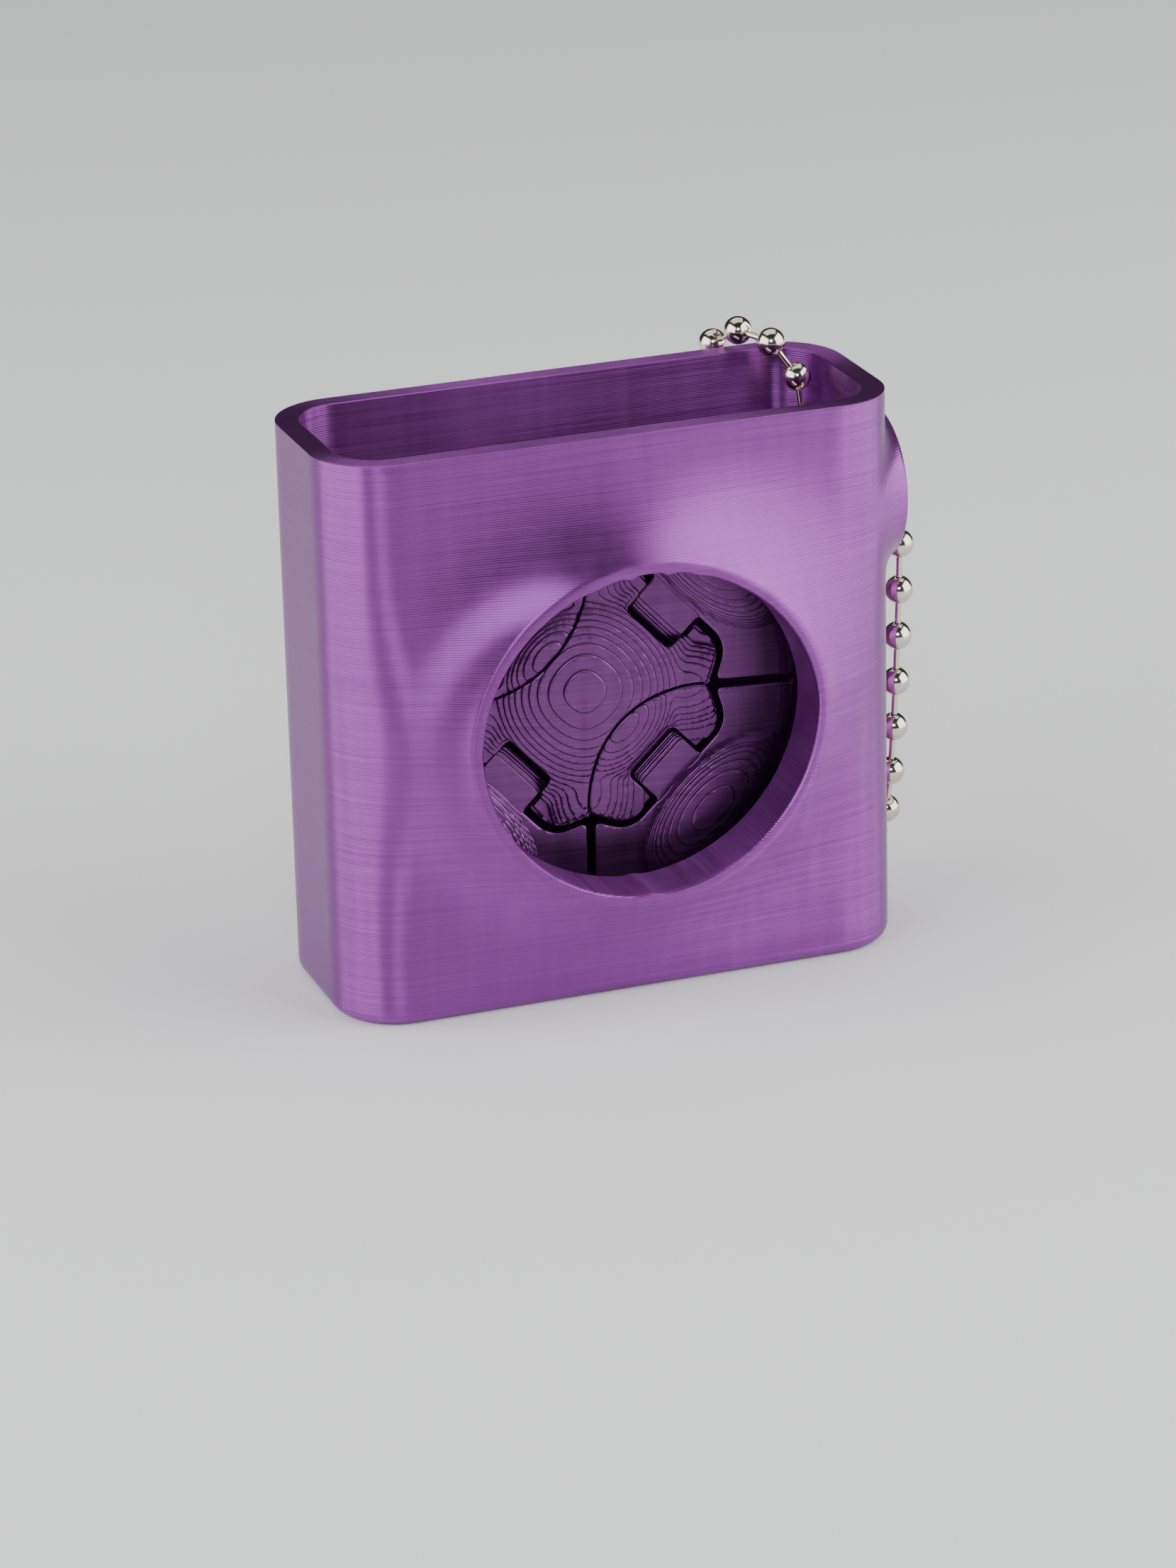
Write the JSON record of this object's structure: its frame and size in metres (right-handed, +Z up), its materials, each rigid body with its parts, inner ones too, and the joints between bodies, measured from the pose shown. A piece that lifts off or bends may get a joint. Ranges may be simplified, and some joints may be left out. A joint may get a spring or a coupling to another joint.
{
  "type": "open case with window and folding toy",
  "caption": "Upright open-topped case with a flared round window, a jointed folding toy inside, and a ball chain looped through an eye on its side.",
  "frame": {"origin": "the middle of the case's flat base, on the surface it stands on", "axes": "+Z up, +X to the right with the chain's eye, and the window faces -Y"},
  "size_m": [0.0551, 0.0279, 0.0532],
  "materials": {
    "case_plastic": "silk-finish printed plastic, purple, with fine level layer lines",
    "toy_plastic": "silk-finish printed plastic, purple, with stepped layers on its domes",
    "chain_metal": "bright nickel plate on brass"
  },
  "bodies": {
    "case": {"case": "case_plastic", "chain_bead_01": "chain_metal", "chain_bead_02": "chain_metal", "chain_bead_03": "chain_metal", "chain_bead_04": "chain_metal", "chain_bead_05": "chain_metal", "chain_bead_06": "chain_metal", "chain_bead_07": "chain_metal", "chain_bead_08": "chain_metal", "chain_bead_09": "chain_metal", "chain_bead_10": "chain_metal", "chain_bead_11": "chain_metal", "chain_bead_12": "chain_metal", "chain_bead_13": "chain_metal", "chain_bead_14": "chain_metal", "chain_bead_15": "chain_metal", "chain_bead_16": "chain_metal", "chain_bead_17": "chain_metal", "chain_bead_18": "chain_metal", "chain_bead_19": "chain_metal", "chain_bead_20": "chain_metal", "chain_bead_21": "chain_metal", "chain_bead_22": "chain_metal", "chain_bead_23": "chain_metal", "chain_bead_24": "chain_metal", "chain_bead_25": "chain_metal", "chain_bead_26": "chain_metal", "chain_bead_27": "chain_metal", "chain_bead_28": "chain_metal", "chain_clasp": "chain_metal", "chain_pins": "chain_metal"},
    "centre_link": {"centre_link": "toy_plastic"},
    "side_link_lower_right": {"side_link_lower_right": "toy_plastic"},
    "side_link_upper_left": {"side_link_upper_left": "toy_plastic"},
    "petal_upper_right": {"petal_upper_right": "toy_plastic"},
    "petal_lower_right": {"petal_lower_right": "toy_plastic"},
    "petal_lower_left": {"petal_lower_left": "toy_plastic"},
    "petal_upper_left": {"petal_upper_left": "toy_plastic"}
  },
  "joints": [
    {"name": "toy_slide", "type": "slide", "parent": "case", "child": "centre_link", "axis": [0, 0, 1], "range_m": [0, 0.047]},
    {"name": "side_link_lower_right_tip", "type": "hinge", "parent": "centre_link", "child": "side_link_lower_right", "pos_m": [0.00284, 0.00098, 0.02054], "axis": [0.7347, 0.0137, 0.6783], "range_deg": [0, 6]},
    {"name": "side_link_upper_left_tip", "type": "hinge", "parent": "centre_link", "child": "side_link_upper_left", "pos_m": [-0.00511, 0.00252, 0.02913], "axis": [-0.7347, -0.0137, -0.6783], "range_deg": [0, 6]},
    {"name": "petal_upper_right_fold", "type": "hinge", "parent": "centre_link", "child": "petal_upper_right", "pos_m": [0.00624, 0.00134, 0.03174], "axis": [-0.6739, 0.1297, 0.7273], "range_deg": [-10, 10]},
    {"name": "petal_lower_right_fold", "type": "hinge", "parent": "side_link_lower_right", "child": "petal_lower_right", "pos_m": [0.00563, -0.00011, 0.01755], "axis": [0.7347, 0.0137, 0.6783], "range_deg": [-10, 10]},
    {"name": "petal_lower_left_fold", "type": "hinge", "parent": "centre_link", "child": "petal_lower_left", "pos_m": [-0.0086, 0.00107, 0.01804], "axis": [0.6739, -0.1297, -0.7273], "range_deg": [-10, 10]},
    {"name": "petal_upper_left_fold", "type": "hinge", "parent": "side_link_upper_left", "child": "petal_upper_left", "pos_m": [-0.00798, 0.00251, 0.03224], "axis": [-0.7347, -0.0137, -0.6783], "range_deg": [-10, 10]}
  ]
}
